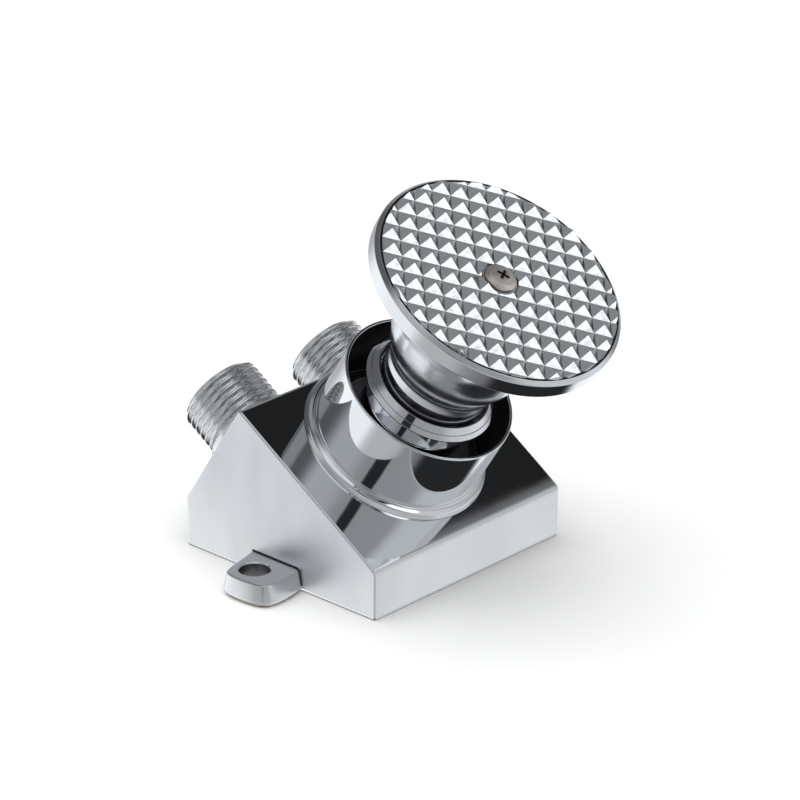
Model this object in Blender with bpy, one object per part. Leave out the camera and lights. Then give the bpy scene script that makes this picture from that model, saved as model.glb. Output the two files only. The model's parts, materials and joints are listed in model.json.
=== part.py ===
"""Foot-operated floor tap valve, built as its separate pieces.

A wedge-shaped casting stands on the floor. A push spindle stands square to its sloping face and
carries a round treaded pedal. Two threaded nipples leave the casting's rear face. The origin lies
on the floor, midway between the two fixing holes. +X is the valve's right, -Y its front, +Z up.

Every turned piece is drawn as (radius, height) pairs along its own axis. Heights on the valve axis
are measured from the sloping face, and positions along a port from the rear face.
"""

import math

import bmesh
import bpy
from mathutils import Matrix, Vector

MM = 0.001

# Casting: front wall, sloping face, rear face square to the slope, flat base.
BODY_WIDTH = 66.0 * MM
FRONT_HEIGHT = 12.5 * MM
SLOPE_ANGLE = math.radians(32.5)
SLOPE_LENGTH = 52.0 * MM
REAR_LENGTH = 34.0 * MM
AXIS_UP_SLOPE = 28.5 * MM
FRONT_Y = -32.0 * MM
CORNER_ROUND = 1.0 * MM

# Fixing ears and their screw holes.
EAR_THICKNESS = 5.5 * MM
EAR_HOLE_X = 40.0 * MM
EAR_HOLE_RADIUS = 3.75 * MM
EAR_DRAFT = 0.8 * MM
EAR_OUTLINE = [
    (28.0, 8.6), (33.0, 7.4), (38.6, 6.1), (43.6, 4.9), (45.6, 3.6), (46.4, 1.2), (46.5, -2.6),
    (46.0, -6.4), (45.0, -8.2), (42.8, -8.9), (39.4, -9.0), (35.6, -8.5), (33.0, -7.6), (28.0, -7.0),
]

# Valve chamber, cut down the valve axis.
BONNET_BORE = 13.3 * MM
BONNET_BORE_FLOOR = -6.0 * MM
SEAT_BORE = 9.5 * MM
SEAT_SHOULDER = -11.8 * MM
CHAMBER_BORE = 8.6 * MM
CHAMBER_FLOOR = -25.0 * MM

# Windows between the chamber and the port passages: near and far side, then depth range.
WINDOW_HALF_WIDTH = 3.5 * MM
INLET_WINDOW = (-15.0 * MM, -6.0 * MM, -21.5 * MM, -17.0 * MM)
OUTLET_WINDOW = (6.0 * MM, 17.5 * MM, -9.4 * MM, -7.2 * MM)
OUTLET_DROP = (13.0 * MM, 17.5 * MM, -12.5 * MM, -9.0 * MM)

# Ports: G1/2 male nipples, spigot-fitted into the rear face.
PORT_X = 18.3 * MM
PORT_DEPTH = 16.15 * MM
PORT_LENGTH = 15.3 * MM
THREAD_MAJOR = 10.478 * MM
THREAD_PITCH = 1.814 * MM
THREAD_DEPTH = 1.162 * MM
THREAD_START = 3.6 * MM
THREAD_CRESTS = 6
COLLAR_RADIUS = 11.2 * MM
COLLAR_END = 2.8 * MM
NIPPLE_BORE = 7.3 * MM
SPIGOT_RADIUS = 9.0 * MM
SPIGOT_LENGTH = 6.7 * MM
PORT_GROOVE_TOP = -3.4 * MM
PORT_GROOVE_BOTTOM = -5.0 * MM
PORT_GROOVE_FLOOR = 8.05 * MM
PORT_SEAL_RADIUS = 8.68 * MM
PORT_BORE = 9.3 * MM
PORT_BORE_DEPTH = 7.0 * MM
PASSAGE_RADIUS = 6.5 * MM
PASSAGE_END = 27.5 * MM

# Shroud and bonnet.
SHROUD_RADIUS = 21.55 * MM
SHROUD_INNER = 20.8 * MM
SHROUD_HEIGHT = 20.1 * MM
SHROUD_WEB_TOP = 1.9 * MM
BEAD_RADIUS = 23.55 * MM
BEAD_HEIGHT = 1.5 * MM
RIM_CHAMFER = 0.25 * MM
BONNET_RADIUS = 16.5 * MM
BONNET_WAIST_RADIUS = 13.3 * MM
BONNET_WAIST_TOP = 13.5 * MM
BONNET_FLANGE_RADIUS = 17.4 * MM
BONNET_FLANGE_TOP = 4.3 * MM
BONNET_BASE = 2.2 * MM
BONNET_SHOULDER = 20.5 * MM
BONNET_TOP = 21.9 * MM
BONNET_BOTTOM = -5.7 * MM
BONNET_CHAMFER = 0.6 * MM
SPIGOT_BONNET = 13.0 * MM
BONNET_GROOVE_TOP = -0.7 * MM
BONNET_GROOVE_BOTTOM = -2.2 * MM
BONNET_GROOVE_FLOOR = 11.9 * MM
BONNET_SEAL_RADIUS = 12.6 * MM
GLAND_BORE = 15.5 * MM
GLAND_SEAT = 20.2 * MM
GLAND_NECK_BORE = 14.7 * MM
GLAND_NECK_FLOOR = 18.0 * MM
SKIRT_BORE = 13.6 * MM
SKIRT_BORE_FLOOR = 15.7 * MM
SPRING_BORE = 11.3 * MM
SPRING_FLOOR = 6.5 * MM
STEM_BORE = 5.15 * MM
STEM_GROOVE_FLOOR = 6.4 * MM
STEM_GROOVE_HALF_HEIGHT = 0.7 * MM
STEM_SEAL_HEIGHTS = {"upper": 4.2 * MM, "lower": 1.2 * MM}
STEM_SEAL_RADIUS = 5.78 * MM
STEM_SEAL_SECTION = 0.55 * MM
CLIP_POCKET_RADIUS = 8.0 * MM
CLIP_POCKET_TOP = -1.7 * MM
GLAND_RADIUS = 15.2 * MM
GLAND_TOP = 23.5 * MM
GLAND_NECK_RADIUS = 14.4 * MM
GLAND_INNER = 13.8 * MM
GLAND_LIP_RADIUS = 14.5 * MM
GLAND_LIP_FLOOR = 20.7 * MM
GLAND_FACE_RADIUS = 14.7 * MM
GLAND_SHOULDER = 22.5 * MM

# Pedal, hub and spindle.
PLATE_RADIUS = 31.1 * MM
PLATE_BOTTOM = 55.1 * MM
PLATE_TOP = 59.7 * MM
PLATE_EDGE = 0.8 * MM
PLATE_FOOT_CHAMFER = 0.4 * MM
TREAD_RADIUS = 29.4 * MM
TREAD_PITCH = 4.75 * MM
TREAD_HEIGHT = 1.2 * MM
TREAD_STEP = 0.15 * MM
TREAD_TURN = math.radians(-37.75)
TREAD_SHIFT = (-0.8 * MM, -0.25 * MM)
TREAD_ROOT = 1.5 * MM
SPOT_FACE_RADIUS = 4.7 * MM
SPOT_FACE_FLOOR = 58.8 * MM
SKIRT_RADIUS = 13.3 * MM
SKIRT_BOTTOM = 22.0 * MM
SKIRT_TOP = 25.6 * MM
HUB_CAVITY = 10.8 * MM
HUB_CEILING = 33.5 * MM
HUB_TOP = 54.8 * MM
SKIRT_CHAMFER = 0.4 * MM
SPINDLE_RADIUS = 5.0 * MM
SPINDLE_TOP = 48.0 * MM
STEM_RADIUS = 3.0 * MM
STEM_TIP_RADIUS = 2.0 * MM
SPINDLE_SHOULDER = -3.5 * MM
STEM_SHOULDER = -13.9 * MM
STEM_END = -17.8 * MM
NUT_RADIUS = 4.4 * MM
NUT_BOTTOM = -17.5 * MM
NUT_TOP = -16.2 * MM
NUT_BORE = 2.3 * MM
CLIP_GROOVE_RADIUS = 4.2 * MM
CLIP_GROOVE_TOP = -1.9 * MM
CLIP_GROOVE_BOTTOM = -3.2 * MM
CLIP_RADIUS = 7.2 * MM
CLIP_CLEARANCE = 0.15 * MM
SCREW_RADIUS = 2.5 * MM
SCREW_CLEARANCE = 2.8 * MM
SCREW_HEAD_RADIUS = 4.0 * MM
SCREW_HEAD_BASE = 60.0 * MM
SCREW_HEAD_TOP = 61.6 * MM
SCREW_END = 43.0 * MM
RECESS_HALF_LENGTH = 2.1 * MM
RECESS_HALF_WIDTH = 0.5 * MM
RECESS_DEPTH = 1.2 * MM

# Return spring.
SPRING_WIRE = 0.85 * MM
SPRING_RADIUS = 9.1 * MM
SPRING_TURNS = 6
SPRING_STEPS = 16
SPRING_TOP = 32.2 * MM
CAP_RADIUS = 10.4 * MM
CAP_THICKNESS = 1.0 * MM

# Touching pieces keep this gap, cutters run past a face by the overrun, and O-rings share a section.
GAP = 0.3 * MM
OVERRUN = 8.0 * MM
SEAL_SECTION = 0.5 * MM

# Facets round a turn: large pieces, small pieces, hidden rings.
LARGE_STEPS = 48
MEDIUM_STEPS = 32
SMALL_STEPS = 24

SLOPE_DIRECTION = Vector((0.0, math.cos(SLOPE_ANGLE), math.sin(SLOPE_ANGLE)))
AXIS_DIRECTION = Vector((0.0, -math.sin(SLOPE_ANGLE), math.cos(SLOPE_ANGLE)))
SLOPE_FOOT = Vector((0.0, FRONT_Y, FRONT_HEIGHT))
AXIS_FOOT = SLOPE_FOOT + AXIS_UP_SLOPE * SLOPE_DIRECTION
REAR_CENTRE = SLOPE_FOOT + SLOPE_LENGTH * SLOPE_DIRECTION - PORT_DEPTH * AXIS_DIRECTION


def clear_scene():
    """Removes whatever the opened file holds."""
    for obj in list(bpy.data.objects):
        bpy.data.objects.remove(obj, do_unlink=True)


def material(name, colour, roughness, metallic):
    """A Principled material."""
    mat = bpy.data.materials.new(name)
    mat.use_nodes = True
    shader = mat.node_tree.nodes["Principled BSDF"]
    shader.inputs["Base Color"].default_value = (*colour, 1.0)
    shader.inputs["Roughness"].default_value = roughness
    shader.inputs["Metallic"].default_value = metallic
    return mat


def place(name, bm, mat, parent):
    """Turns a bmesh into an object under a parent."""
    bmesh.ops.recalc_face_normals(bm, faces=bm.faces)
    mesh = bpy.data.meshes.new(name)
    bm.to_mesh(mesh)
    bm.free()
    mesh.materials.append(mat)
    mesh.shade_smooth()
    mesh.set_sharp_from_angle(angle=math.radians(35.0))
    obj = bpy.data.objects.new(name, mesh)
    obj.parent = parent
    bpy.context.scene.collection.objects.link(obj)
    return obj


def axis_empty(name, location, tilt, parent=None):
    """An empty whose +Z is an axis of the valve."""
    empty = bpy.data.objects.new(name, None)
    empty.empty_display_size = 0.01
    empty.location = location
    empty.rotation_euler = (tilt, 0.0, 0.0)
    empty.parent = parent
    bpy.context.scene.collection.objects.link(empty)
    return empty


def spun(profile, steps):
    """Spins a closed (radius, height) profile about Z."""
    bm = bmesh.new()
    verts = [bm.verts.new((radius, 0.0, height)) for radius, height in profile]
    edges = []
    for first, second in zip(verts, verts[1:] + verts[:1]):
        if first.co.x > 0.0 or second.co.x > 0.0:
            edges.append(bm.edges.new((first, second)))
    bmesh.ops.spin(
        bm, geom=verts + edges, cent=(0, 0, 0), axis=(0, 0, 1), angle=math.tau, steps=steps, use_merge=True
    )
    bmesh.ops.remove_doubles(bm, verts=bm.verts, dist=1e-6)
    return bm


def turned(name, profile, mat, parent, steps=MEDIUM_STEPS):
    """A turned piece on its parent's Z axis."""
    return place(name, spun(profile, steps), mat, parent)


def extruded(outline, low, high, growth=0.0):
    """A prism of an (x, y) outline. Its base is larger than its top by the growth, away from X = 0."""
    bm = bmesh.new()
    widest = max(abs(x) for x, _ in outline)
    base = [bm.verts.new((x * (1.0 + growth / widest), y, low)) for x, y in outline]
    top = [bm.verts.new((x, y, high)) for x, y in outline]
    bm.faces.new(base[::-1])
    bm.faces.new(top)
    for i in range(len(outline)):
        j = (i + 1) % len(outline)
        bm.faces.new((base[i], base[j], top[j], top[i]))
    return bm


def box(low, high):
    """A box between two corners."""
    bm = bmesh.new()
    size = Vector(high) - Vector(low)
    centre = (Vector(high) + Vector(low)) / 2
    matrix = Matrix.Translation(centre) @ Matrix.Diagonal((*size, 1.0))
    bmesh.ops.create_cube(bm, size=1.0, matrix=matrix)
    return bm


def regular_outline(sides, radius, turn=0.0):
    """The corners of a regular polygon."""
    angles = [turn + math.tau * i / sides for i in range(sides)]
    return [(radius * math.cos(a), radius * math.sin(a)) for a in angles]


def combine(target, operation, name, bm, mat, parent):
    """Joins a shape to the target, or cuts it away, with a hidden tool object."""
    tool = place(name, bm, mat, parent)
    tool.hide_render = True
    tool.display_type = "WIRE"
    modifier = target.modifiers.new(name, "BOOLEAN")
    modifier.operation = operation
    modifier.solver = "EXACT"
    modifier.object = tool


def ring_section(radius, height, section, sides=6):
    """The round section of an O-ring as a spin profile."""
    angles = [-math.tau * i / sides for i in range(sides)]
    return [(radius + section * math.cos(a), height + section * math.sin(a)) for a in angles]


def mm_profile(*points):
    """A profile given in millimetres."""
    return [(radius * MM, height * MM) for radius, height in points]


def rounded_wedge():
    """The casting's outer wedge, with its long edges and corners rounded."""
    ridge = SLOPE_FOOT + SLOPE_LENGTH * SLOPE_DIRECTION
    rear_foot = ridge - REAR_LENGTH * AXIS_DIRECTION
    side = [
        (FRONT_Y, 0.0),
        (FRONT_Y, FRONT_HEIGHT),
        (ridge.y, ridge.z),
        (rear_foot.y, rear_foot.z),
        (rear_foot.y, 0.0),
    ]
    bm = bmesh.new()
    left = [bm.verts.new((-BODY_WIDTH / 2, y, z)) for y, z in side]
    face = bm.faces.new(left)
    moved = bmesh.ops.extrude_face_region(bm, geom=[face])
    right = [item for item in moved["geom"] if isinstance(item, bmesh.types.BMVert)]
    bmesh.ops.translate(bm, verts=right, vec=(BODY_WIDTH, 0.0, 0.0))
    bmesh.ops.recalc_face_normals(bm, faces=bm.faces)
    upper = [edge for edge in bm.edges if max(v.co.z for v in edge.verts) > 0.0]
    bmesh.ops.bevel(
        bm, geom=upper, offset=CORNER_ROUND, segments=2, profile=0.5, affect="EDGES", clamp_overlap=True
    )
    return bm


def build_body(mat, world, valve, port_axes):
    """Wedge casting with two ears, the valve chamber and both port passages."""
    body = place("body", rounded_wedge(), mat, world)
    for side, word in ((-1, "left"), (1, "right")):
        outline = [(side * x * MM, y * MM) for x, y in EAR_OUTLINE]
        ear = extruded(outline, 0.0, EAR_THICKNESS, EAR_DRAFT)
        combine(body, "UNION", f"ear_{word}_shape", ear, mat, world)
    for side, word in ((-1, "left"), (1, "right")):
        circle = [
            (side * EAR_HOLE_X + x, y) for x, y in regular_outline(SMALL_STEPS, EAR_HOLE_RADIUS)
        ]
        hole = extruded(circle, -EAR_THICKNESS, 2 * EAR_THICKNESS)
        combine(body, "DIFFERENCE", f"ear_{word}_hole", hole, mat, world)
    chamber = [
        (0.0, BONNET_BORE),
        (BONNET_BORE, BONNET_BORE),
        (BONNET_BORE, BONNET_BORE_FLOOR),
        (SEAT_BORE, BONNET_BORE_FLOOR),
        (SEAT_BORE, SEAT_SHOULDER),
        (CHAMBER_BORE, SEAT_SHOULDER),
        (CHAMBER_BORE, CHAMBER_FLOOR),
        (0.0, CHAMBER_FLOOR),
    ]
    combine(body, "DIFFERENCE", "chamber_bore", spun(chamber, MEDIUM_STEPS), mat, valve)
    passage = [
        (0.0, PORT_BORE),
        (PORT_BORE, PORT_BORE),
        (PORT_BORE, -PORT_BORE_DEPTH),
        (PASSAGE_RADIUS, -PORT_BORE_DEPTH),
        (PASSAGE_RADIUS, -PASSAGE_END),
        (0.0, -PASSAGE_END),
    ]
    for word, port in port_axes.items():
        combine(body, "DIFFERENCE", f"{word}_passage", spun(passage, SMALL_STEPS), mat, port)
    windows = {"inlet_window": INLET_WINDOW, "outlet_window": OUTLET_WINDOW, "outlet_drop": OUTLET_DROP}
    for name, (near, far, low, high) in windows.items():
        window = box((near, -WINDOW_HALF_WIDTH, low), (far, WINDOW_HALF_WIDTH, high))
        combine(body, "DIFFERENCE", name, window, mat, valve)


def build_nipples(metal, rubber, port_axes):
    """Threaded port nipples, each with a collar, a spigot and the O-ring in its groove."""
    root = THREAD_MAJOR - THREAD_DEPTH
    profile = [
        (NIPPLE_BORE, PORT_LENGTH),
        (root, PORT_LENGTH),
    ]
    for crest in range(THREAD_CRESTS, 0, -1):
        middle = THREAD_START + (crest - 0.5) * THREAD_PITCH
        profile.append((THREAD_MAJOR, middle))
        profile.append((root, middle - 0.5 * THREAD_PITCH))
    profile += [
        (root, COLLAR_END),
        (COLLAR_RADIUS, COLLAR_END),
        (COLLAR_RADIUS, GAP),
        (SPIGOT_RADIUS, GAP),
        (SPIGOT_RADIUS, PORT_GROOVE_TOP),
        (PORT_GROOVE_FLOOR, PORT_GROOVE_TOP),
        (PORT_GROOVE_FLOOR, PORT_GROOVE_BOTTOM),
        (SPIGOT_RADIUS, PORT_GROOVE_BOTTOM),
        (SPIGOT_RADIUS, -SPIGOT_LENGTH),
        (NIPPLE_BORE, -SPIGOT_LENGTH),
    ]
    seal_height = (PORT_GROOVE_BOTTOM + PORT_GROOVE_TOP) / 2
    seal = ring_section(PORT_SEAL_RADIUS, seal_height, SEAL_SECTION)
    for word, port in port_axes.items():
        turned(f"{word}_nipple", profile, metal, port, MEDIUM_STEPS)
        turned(f"{word}_oring", seal, rubber, port, SMALL_STEPS)


def build_shroud(mat, valve):
    """Sleeve round the bonnet, with a half-round bead at its foot and a web that the bonnet clamps."""
    bead = [
        (SHROUD_RADIUS + (BEAD_RADIUS - SHROUD_RADIUS) * math.sin(a), GAP + BEAD_HEIGHT * math.cos(a))
        for a in (0.0, math.pi / 6, math.pi / 3, math.pi / 2)
    ]
    profile = [
        (SHROUD_INNER, SHROUD_HEIGHT - RIM_CHAMFER),
        (SHROUD_INNER + RIM_CHAMFER, SHROUD_HEIGHT),
        (SHROUD_RADIUS - RIM_CHAMFER, SHROUD_HEIGHT),
        (SHROUD_RADIUS, SHROUD_HEIGHT - RIM_CHAMFER),
        *bead,
        (SPIGOT_BONNET + 2 * GAP, GAP),
        (SPIGOT_BONNET + 2 * GAP, SHROUD_WEB_TOP),
        (SHROUD_INNER, SHROUD_WEB_TOP),
    ]
    turned("shroud", profile, mat, valve, LARGE_STEPS)


def build_bonnet(metal, rubber, valve):
    """Waisted bonnet with its foot flange, stem bore and spring cup, and its O-rings."""
    outer = [
        (0.0, BONNET_TOP),
        (GLAND_BORE + 0.1 * MM, BONNET_TOP),
        (BONNET_RADIUS, BONNET_SHOULDER),
        (BONNET_WAIST_RADIUS, BONNET_WAIST_TOP),
        (BONNET_WAIST_RADIUS, BONNET_FLANGE_TOP),
        (BONNET_FLANGE_RADIUS, BONNET_FLANGE_TOP),
        (BONNET_FLANGE_RADIUS, BONNET_BASE),
        (SPIGOT_BONNET, BONNET_BASE),
        (SPIGOT_BONNET, BONNET_GROOVE_TOP),
        (BONNET_GROOVE_FLOOR, BONNET_GROOVE_TOP),
        (BONNET_GROOVE_FLOOR, BONNET_GROOVE_BOTTOM),
        (SPIGOT_BONNET, BONNET_GROOVE_BOTTOM),
        (SPIGOT_BONNET, BONNET_BOTTOM + BONNET_CHAMFER),
        (SPIGOT_BONNET - BONNET_CHAMFER, BONNET_BOTTOM),
        (0.0, BONNET_BOTTOM),
    ]
    bonnet = turned("bonnet", outer, metal, valve, MEDIUM_STEPS)
    bore = [
        (0.0, BONNET_TOP + OVERRUN),
        (GLAND_BORE, BONNET_TOP + OVERRUN),
        (GLAND_BORE, GLAND_SEAT),
        (GLAND_NECK_BORE, GLAND_SEAT),
        (GLAND_NECK_BORE, GLAND_NECK_FLOOR),
        (SKIRT_BORE, GLAND_NECK_FLOOR),
        (SKIRT_BORE, SKIRT_BORE_FLOOR),
        (SPRING_BORE, SKIRT_BORE_FLOOR),
        (SPRING_BORE, SPRING_FLOOR),
        (STEM_BORE, SPRING_FLOOR),
    ]
    for height in STEM_SEAL_HEIGHTS.values():
        bore += [
            (STEM_BORE, height + STEM_GROOVE_HALF_HEIGHT),
            (STEM_GROOVE_FLOOR, height + STEM_GROOVE_HALF_HEIGHT),
            (STEM_GROOVE_FLOOR, height - STEM_GROOVE_HALF_HEIGHT),
            (STEM_BORE, height - STEM_GROOVE_HALF_HEIGHT),
        ]
    bore += [
        (STEM_BORE, CLIP_POCKET_TOP),
        (CLIP_POCKET_RADIUS, CLIP_POCKET_TOP),
        (CLIP_POCKET_RADIUS, BONNET_BOTTOM - OVERRUN),
        (0.0, BONNET_BOTTOM - OVERRUN),
    ]
    combine(bonnet, "DIFFERENCE", "bonnet_bore", spun(bore, MEDIUM_STEPS), metal, valve)
    groove_middle = (BONNET_GROOVE_TOP + BONNET_GROOVE_BOTTOM) / 2
    seal = ring_section(BONNET_SEAL_RADIUS, groove_middle, SEAL_SECTION)
    turned("bonnet_oring", seal, rubber, valve, SMALL_STEPS)
    for word, height in STEM_SEAL_HEIGHTS.items():
        seal = ring_section(STEM_SEAL_RADIUS, height, STEM_SEAL_SECTION)
        turned(f"stem_oring_{word}", seal, rubber, valve, SMALL_STEPS)


def build_gland(metal, rubber, valve):
    """Ring nut in the bonnet's mouth and the dust seal that it carries."""
    ring = [
        (GLAND_LIP_RADIUS, GLAND_TOP),
        (GLAND_FACE_RADIUS, GLAND_TOP),
        (GLAND_RADIUS, GLAND_SHOULDER),
        (GLAND_RADIUS, GLAND_SEAT + GAP),
        (GLAND_NECK_RADIUS, GLAND_SEAT + GAP),
        (GLAND_NECK_RADIUS, GLAND_NECK_FLOOR + GAP),
        (GLAND_INNER, GLAND_NECK_FLOOR + GAP),
        (GLAND_INNER, GLAND_LIP_FLOOR),
        (GLAND_LIP_RADIUS, GLAND_LIP_FLOOR),
    ]
    turned("gland_ring", ring, metal, valve)
    seal = mm_profile((13.6, 23.1), (14.2, 22.8), (14.2, 21.0), (13.55, 21.0), (13.55, 22.0), (13.7, 22.5))
    turned("dust_seal", seal, rubber, valve)


def build_seat(mat, valve):
    """Valve seat pressed on the chamber's shoulder, with its sealing lip below."""
    profile = mm_profile(
        (5.2, -9.6), (9.2, -9.6), (9.2, -11.5), (8.3, -11.5),
        (8.3, -11.7), (6.3, -11.7), (6.1, -12.2), (5.2, -12.2),
    )
    turned("valve_seat", profile, mat, valve, SMALL_STEPS)


def build_plate(mat, pedal):
    """Round pedal plate with a field of four-sided pyramids inside a plain rim."""
    profile = [
        (0.0, PLATE_TOP),
        (PLATE_RADIUS - PLATE_EDGE, PLATE_TOP),
        (PLATE_RADIUS - 0.3 * PLATE_EDGE, PLATE_TOP - 0.3 * PLATE_EDGE),
        (PLATE_RADIUS, PLATE_TOP - PLATE_EDGE),
        (PLATE_RADIUS, PLATE_BOTTOM + PLATE_FOOT_CHAMFER),
        (PLATE_RADIUS - PLATE_FOOT_CHAMFER, PLATE_BOTTOM),
        (0.0, PLATE_BOTTOM),
    ]
    plate = turned("pedal_plate", profile, mat, pedal, LARGE_STEPS)
    tread = tread_block()
    combine(plate, "UNION", "tread_shape", tread, mat, pedal)
    hole = [
        (0.0, PLATE_TOP + OVERRUN),
        (SPOT_FACE_RADIUS, PLATE_TOP + OVERRUN),
        (SPOT_FACE_RADIUS, SPOT_FACE_FLOOR),
        (SCREW_CLEARANCE, SPOT_FACE_FLOOR),
        (SCREW_CLEARANCE, PLATE_BOTTOM - OVERRUN),
        (0.0, PLATE_BOTTOM - OVERRUN),
    ]
    combine(plate, "DIFFERENCE", "screw_spot_face", spun(hole, SMALL_STEPS), mat, pedal)


def tread_block():
    """Square pyramids on a flat block, trimmed to a disc by clipping each cell at the rim."""
    cells = math.ceil(TREAD_RADIUS / TREAD_PITCH) + 1
    valley = PLATE_TOP + TREAD_STEP
    floor = PLATE_TOP - TREAD_ROOT
    shift_x, shift_y = TREAD_SHIFT
    bm = bmesh.new()
    for row in range(-cells, cells):
        for column in range(-cells, cells):
            corners = [(column, row), (column + 1, row), (column + 1, row + 1), (column, row + 1)]
            points = [
                Vector((x * TREAD_PITCH + shift_x, y * TREAD_PITCH + shift_y, valley)) for x, y in corners
            ]
            peak = sum(points, Vector()) / 4 + Vector((0.0, 0.0, TREAD_HEIGHT))
            top = bm.verts.new(peak)
            ring = [bm.verts.new(point) for point in points]
            for i in range(4):
                bm.faces.new((ring[i], ring[(i + 1) % 4], top))
    bmesh.ops.remove_doubles(bm, verts=bm.verts, dist=1e-6)
    trim_to_disc(bm, TREAD_RADIUS, LARGE_STEPS)
    close_below(bm, floor)
    bmesh.ops.rotate(bm, cent=(0, 0, 0), matrix=Matrix.Rotation(TREAD_TURN, 3, "Z"), verts=bm.verts)
    return bm


def trim_to_disc(bm, radius, sides):
    """Cuts an open surface back to a many-sided disc about Z."""
    reach = radius * math.cos(math.pi / sides)
    for i in range(sides):
        angle = math.tau * (i + 0.5) / sides
        outward = Vector((math.cos(angle), math.sin(angle), 0.0))
        bmesh.ops.bisect_plane(
            bm,
            geom=bm.verts[:] + bm.edges[:] + bm.faces[:],
            dist=1e-7,
            plane_co=outward * reach,
            plane_no=outward,
            clear_outer=True,
        )
    bmesh.ops.remove_doubles(bm, verts=bm.verts, dist=5e-6)


def close_below(bm, floor):
    """Drops the surface's open edge to a flat floor and closes it."""
    rim = [edge for edge in bm.edges if edge.is_boundary]
    grown = bmesh.ops.extrude_edge_only(bm, edges=rim)["geom"]
    lower = [item for item in grown if isinstance(item, bmesh.types.BMVert)]
    for vert in lower:
        vert.co.z = floor
    low_edges = [item for item in grown if isinstance(item, bmesh.types.BMEdge)]
    low_edges = [edge for edge in low_edges if all(vert in lower for vert in edge.verts)]
    bmesh.ops.contextual_create(bm, geom=low_edges)


def build_hub(mat, pedal):
    """Trumpet-shaped hub between the pedal plate and the skirt that slides in the bonnet."""
    flare = mm_profile(
        (13.1, 26.3), (12.8, 27.4), (12.9, 28.6), (13.3, 29.7), (14.1, 31.2), (15.2, 33.0), (16.5, 35.2),
        (17.5, 37.8), (18.3, 41.0), (19.2, 44.5), (20.4, 48.0), (22.0, 51.2), (24.2, 53.8), (25.0, 54.4),
    )
    profile = [
        (flare[-1][0], HUB_TOP),
        *flare[::-1],
        (SKIRT_RADIUS, SKIRT_TOP),
        (SKIRT_RADIUS, SKIRT_BOTTOM + SKIRT_CHAMFER),
        (SKIRT_RADIUS - SKIRT_CHAMFER, SKIRT_BOTTOM),
        (HUB_CAVITY, SKIRT_BOTTOM),
        (HUB_CAVITY, HUB_CEILING),
        (SPINDLE_RADIUS + GAP, HUB_CEILING),
        (SPINDLE_RADIUS + GAP, SPINDLE_TOP + GAP),
        (SCREW_CLEARANCE, SPINDLE_TOP + GAP),
        (SCREW_CLEARANCE, HUB_TOP),
    ]
    turned("pedal_hub", profile, mat, pedal, MEDIUM_STEPS)


def build_spindle(metal, steel, pedal):
    """Push spindle and the clip that stops it under the bonnet."""
    profile = [
        (SCREW_CLEARANCE, SPINDLE_TOP),
        (SPINDLE_RADIUS, SPINDLE_TOP),
        (SPINDLE_RADIUS, CLIP_GROOVE_TOP),
        (CLIP_GROOVE_RADIUS, CLIP_GROOVE_TOP),
        (CLIP_GROOVE_RADIUS, CLIP_GROOVE_BOTTOM),
        (SPINDLE_RADIUS, CLIP_GROOVE_BOTTOM),
        (SPINDLE_RADIUS, SPINDLE_SHOULDER),
        (STEM_RADIUS, SPINDLE_SHOULDER),
        (STEM_RADIUS, STEM_SHOULDER),
        (STEM_TIP_RADIUS, STEM_SHOULDER),
        (STEM_TIP_RADIUS, STEM_END),
        (0.0, STEM_END),
        (0.0, SCREW_END - 2 * GAP),
        (SCREW_CLEARANCE, SCREW_END - 2 * GAP),
    ]
    turned("spindle", profile, metal, pedal, SMALL_STEPS)
    clip_top = CLIP_GROOVE_TOP - CLIP_CLEARANCE
    clip_bottom = CLIP_GROOVE_BOTTOM + CLIP_CLEARANCE
    clip_inner = CLIP_GROOVE_RADIUS + CLIP_CLEARANCE
    clip = [
        (clip_inner, clip_top),
        (CLIP_RADIUS, clip_top),
        (CLIP_RADIUS, clip_bottom),
        (clip_inner, clip_bottom),
    ]
    turned("retaining_clip", clip, steel, pedal, SMALL_STEPS)


def build_poppet(metal, rubber, pedal):
    """Washer holder, its rubber washer and the nut that keeps them on the spindle's tip."""
    holder = mm_profile(
        (7.15, -13.2), (7.5, -13.2), (7.5, -15.6), (7.2, -15.9), (2.3, -15.9), (2.3, -14.2), (7.15, -14.2)
    )
    turned("washer_holder", holder, metal, pedal, SMALL_STEPS)
    washer = mm_profile((3.3, -12.5), (6.9, -12.5), (6.9, -13.9), (3.3, -13.9))
    turned("valve_washer", washer, rubber, pedal, SMALL_STEPS)
    hexagon = extruded(regular_outline(6, NUT_RADIUS), NUT_BOTTOM, NUT_TOP)
    nut = place("holder_nut", hexagon, metal, pedal)
    hole = [
        (0.0, NUT_TOP + OVERRUN),
        (NUT_BORE, NUT_TOP + OVERRUN),
        (NUT_BORE, NUT_BOTTOM - OVERRUN),
        (0.0, NUT_BOTTOM - OVERRUN),
    ]
    combine(nut, "DIFFERENCE", "holder_nut_hole", spun(hole, SMALL_STEPS), metal, pedal)


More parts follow.
